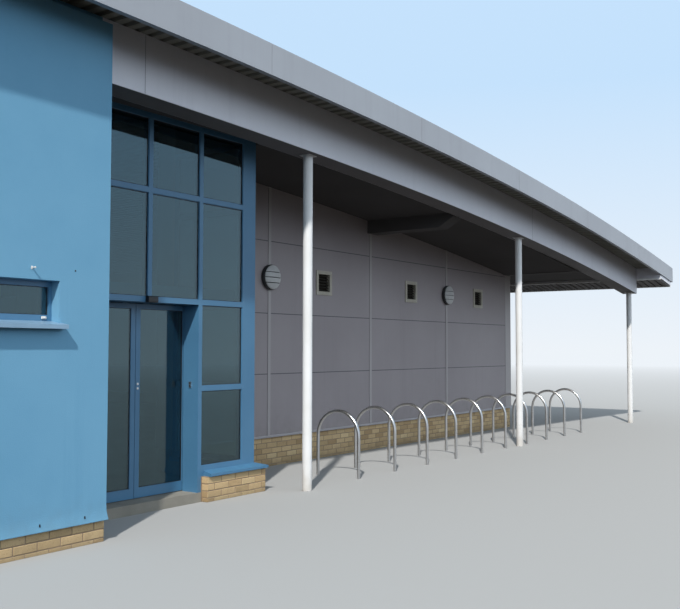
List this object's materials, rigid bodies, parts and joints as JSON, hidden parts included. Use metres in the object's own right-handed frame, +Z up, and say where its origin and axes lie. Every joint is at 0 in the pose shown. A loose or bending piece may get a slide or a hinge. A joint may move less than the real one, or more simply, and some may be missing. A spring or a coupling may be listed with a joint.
{
  "type": "sports centre",
  "caption": "Single-storey sports centre with a shallow barrel roof, blue rendered wall, glazed entrance with sliding doors and a covered walk with cycle hoops.",
  "frame": {"origin": "on the ground under the middle of the roof", "axes": "+X along the front to the right, +Y into the building, +Z up"},
  "size_m": [36.8, 18.84, 4.79],
  "materials": {
    "concrete": "matte",
    "buff_brick": "matte",
    "blue_render": "matte",
    "grey_panel": "satin",
    "strip_metal": "satin",
    "blue_frame": "satin",
    "glass": "clear",
    "sill_metal": "satin",
    "ceiling_metal": "matte",
    "lock_steel": "satin",
    "black_plastic": "matte",
    "beam_metal": "satin",
    "column_paint": "satin",
    "deck_metal": "satin",
    "roof_metal": "satin",
    "light_body": "satin",
    "light_lens": "satin",
    "vent_metal": "satin",
    "louvre_metal": "satin",
    "hoop_steel": "satin"
  },
  "bodies": {
    "root": {"back_plinth": "buff_brick", "blue_front_wall": "blue_render", "blue_return_wall": "blue_render", "blue_wall_plinth": "buff_brick", "canopy_ceiling": "ceiling_metal", "canopy_cross_beams": "ceiling_metal", "columns": "column_paint", "cycle_hoops": "hoop_steel", "door_header": "blue_frame", "door_reveals": "blue_frame", "door_sensor": "black_plastic", "doorway_lintel": "blue_frame", "eaves_boxes": "beam_metal", "eaves_fascias": "beam_metal", "entrance_glass": "glass", "entrance_head_panel": "ceiling_metal", "entrance_left_frame": "blue_frame", "entrance_plinth": "buff_brick", "entrance_right_frame": "blue_frame", "entrance_side_frame": "blue_frame", "entrance_sill": "blue_frame", "entrance_upper_frame": "blue_frame", "fascia_beams": "beam_metal", "floor_slab": "concrete", "grey_back_wall": "grey_panel", "grey_front_plinth": "buff_brick", "grey_front_wall": "grey_panel", "grey_left_wall": "grey_panel", "grey_right_wall": "grey_panel", "key_switch": "lock_steel", "light_bodies": "light_body", "light_lenses": "light_lens", "roof_covering": "roof_metal", "roof_deck": "deck_metal", "side_plinths": "buff_brick", "vent_frames": "vent_metal", "vent_louvres": "louvre_metal", "verge_fascias": "beam_metal", "wall_cover_strips": "strip_metal", "window_frames": "blue_frame", "window_glass": "glass", "window_sills": "sill_metal"},
    "left_door": {"left_door_leaf": "blue_frame", "left_door_glass": "glass"},
    "right_door": {"right_door_leaf": "blue_frame", "right_door_glass": "glass", "right_door_lock": "lock_steel"}
  },
  "joints": [
    {"name": "left_door_slide", "type": "slide", "parent": "root", "child": "left_door", "axis": [-1, 0, 0], "range_m": [0, 0.68]},
    {"name": "right_door_slide", "type": "slide", "parent": "root", "child": "right_door", "axis": [1, 0, 0], "range_m": [0, 0.68]}
  ],
  "couplings": [
    {"joint": "right_door_slide", "follows": "left_door_slide", "ratio": 1}
  ]
}
